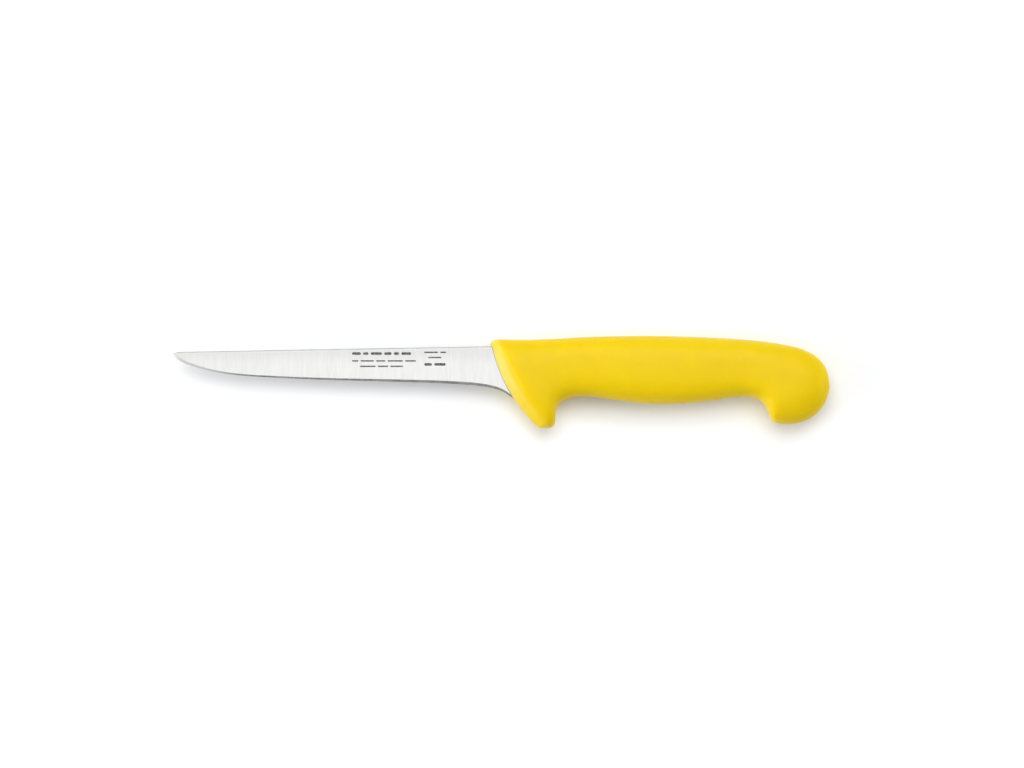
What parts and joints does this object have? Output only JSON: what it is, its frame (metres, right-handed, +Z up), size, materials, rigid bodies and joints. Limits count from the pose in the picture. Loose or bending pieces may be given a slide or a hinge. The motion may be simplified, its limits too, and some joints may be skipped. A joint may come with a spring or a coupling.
{
  "type": "boning knife",
  "caption": "Boning knife with a straight slender ground steel blade and a moulded plastic grip with a finger guard and a hooked butt.",
  "frame": {"origin": "middle of the footprint, on the surface that the knife lies on", "axes": "+X along the knife from the point to the butt, +Y from the cutting edge to the spine, +Z up through its thickness"},
  "size_m": [0.268, 0.0376, 0.0187],
  "materials": {
    "blade_steel": "ground across the blade, from spine to edge",
    "handle_plastic": "fine satin texture, yellow"
  },
  "bodies": {
    "root": {"blade": "blade_steel", "handle": "handle_plastic"}
  },
  "joints": []
}
